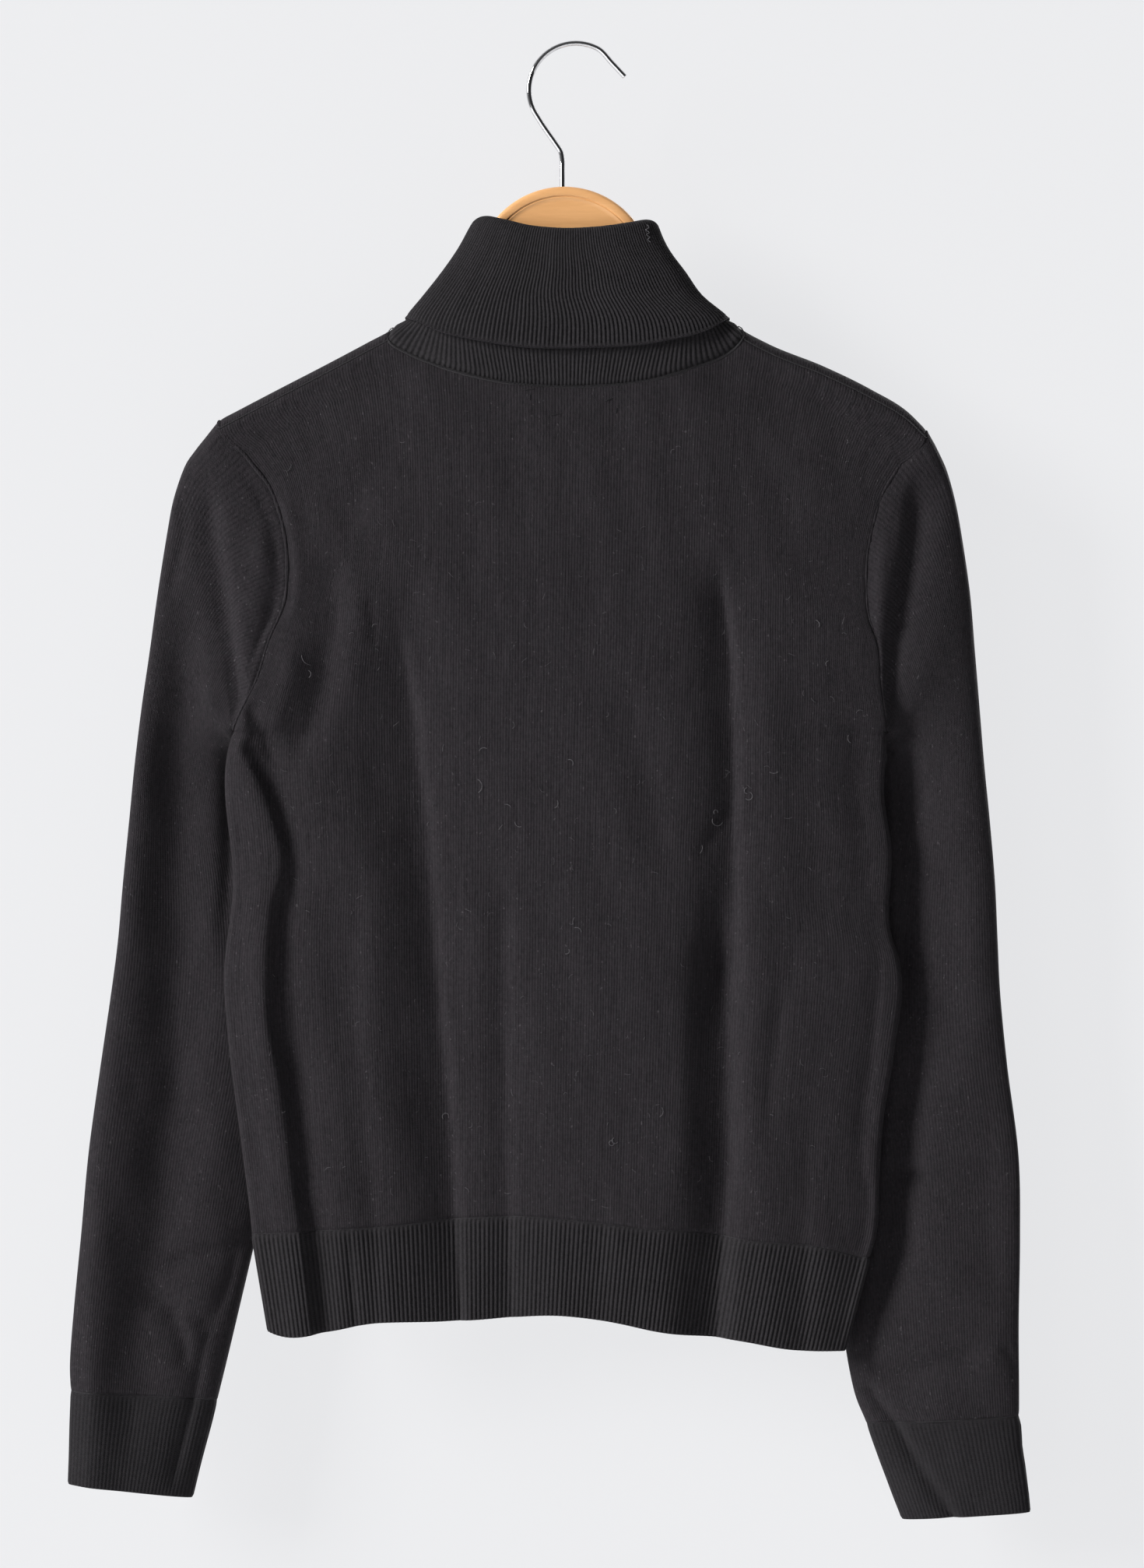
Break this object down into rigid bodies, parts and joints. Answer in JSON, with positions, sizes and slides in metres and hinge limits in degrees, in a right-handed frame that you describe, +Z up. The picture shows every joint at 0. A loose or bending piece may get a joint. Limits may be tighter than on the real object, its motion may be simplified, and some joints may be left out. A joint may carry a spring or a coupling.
{
  "type": "turtleneck sweater on hanger",
  "caption": "Fine-knit long-sleeved turtleneck sweater with ribbed collar, cuffs and hem, hanging on a flat-headed wooden hanger with a bent wire hook.",
  "frame": {"origin": "inner crown of the hook, where it rests on the rail", "axes": "+Z up, along the hanging sweater; +Y from the sweater's back to its front; +X towards the wearer's right sleeve"},
  "size_m": [0.5266, 0.0481, 0.8087],
  "materials": {
    "jersey": "matt fine jersey knit",
    "rib": "matt rib knit",
    "wood": "satin lacquer",
    "chrome": "polished"
  },
  "bodies": {
    "root": {"back": "jersey", "front": "jersey", "hem_back": "rib", "hem_front": "rib", "sleeve_left": "jersey", "sleeve_right": "jersey", "cuff_left": "rib", "cuff_right": "rib", "collar": "rib", "hanger": "wood", "hook": "chrome"}
  },
  "joints": []
}
